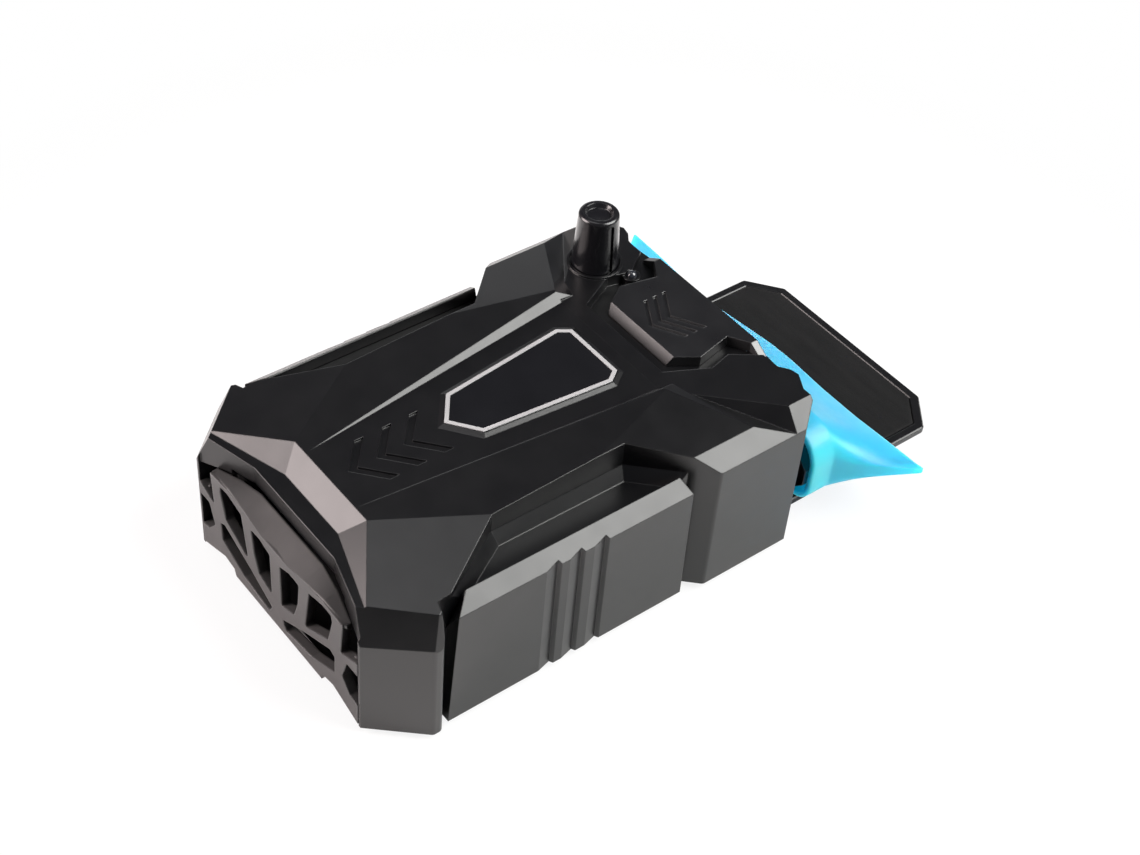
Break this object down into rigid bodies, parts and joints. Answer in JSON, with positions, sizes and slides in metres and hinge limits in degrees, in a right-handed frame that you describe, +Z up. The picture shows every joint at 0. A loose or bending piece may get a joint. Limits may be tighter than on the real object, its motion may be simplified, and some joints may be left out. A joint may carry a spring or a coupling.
{
  "type": "laptop cooling fan",
  "caption": "Hand-sized blower for a laptop vent: faceted black housing, front outlet grille, speed knob, and a sliding intake with a flared silicone hood over a padded support plate.",
  "frame": {"origin": "under the middle of the whole fan's footprint, on the surface it stands on", "axes": "+Z up, +Y towards the silicone hood and support plate, -Y towards the front grille, X across"},
  "size_m": [0.1256, 0.201, 0.066],
  "materials": {
    "black_plastic": "fine satin texture",
    "grille_plastic": "fine satin texture",
    "gloss_black": "gloss",
    "silver_trim": "bright satin",
    "nickel_steel": "satin",
    "zinc_steel": "satin",
    "lamp_lens": "clear dark lens",
    "circuit_board": "solder mask",
    "socket_plastic": "satin",
    "soft_pad": "matt foam rubber",
    "cyan_silicone": "soft satin",
    "inner_plastic": "satin",
    "ferrite": "matt",
    "sintered_bronze": "satin",
    "lamination_steel": "satin",
    "copper_wire": "enamelled",
    "black_rubber": "matt"
  },
  "bodies": {
    "housing": {"upper_shell": "black_plastic", "front_grille": "grille_plastic", "base_cover": "black_plastic", "left_grip_panel": "black_plastic", "right_grip_panel": "black_plastic", "label_border": "silver_trim", "label_plate": "gloss_black", "potentiometer_body": "nickel_steel", "potentiometer_nut": "nickel_steel", "indicator_lamp": "lamp_lens", "control_board": "circuit_board", "board_screws": "zinc_steel", "power_socket": "socket_plastic", "blower_housing": "inner_plastic", "blower_cover": "inner_plastic", "blower_screws": "zinc_steel", "lower_bearing": "sintered_bronze", "upper_bearing": "sintered_bronze", "stator_core": "lamination_steel", "stator_coils": "copper_wire", "motor_board": "circuit_board", "plenum_divider": "inner_plastic", "rubber_feet": "black_rubber", "base_screws": "zinc_steel"},
    "rotor": {"impeller": "inner_plastic", "magnet_ring": "ferrite", "motor_shaft": "nickel_steel", "shaft_clip": "nickel_steel"},
    "knob": {"speed_knob": "gloss_black", "potentiometer_shaft": "nickel_steel"},
    "intake": {"bracket": "black_plastic", "bracket_cap": "black_plastic", "support_plate": "black_plastic", "support_pad": "soft_pad", "suction_hood": "cyan_silicone", "plate_screws": "zinc_steel"}
  },
  "joints": [
    {"name": "fan_spin", "type": "hinge", "parent": "housing", "child": "rotor", "pos_m": [0, -0.033, 0.014], "axis": [0, 0, 1], "continuous": true},
    {"name": "knob_turn", "type": "hinge", "parent": "housing", "child": "knob", "pos_m": [-0.029, 0.02, 0.056], "axis": [0, 0, 1], "range_deg": [-300, 0]},
    {"name": "intake_slide", "type": "slide", "parent": "housing", "child": "intake", "axis": [0, 0, 1], "range_m": [0, 0.007]}
  ]
}
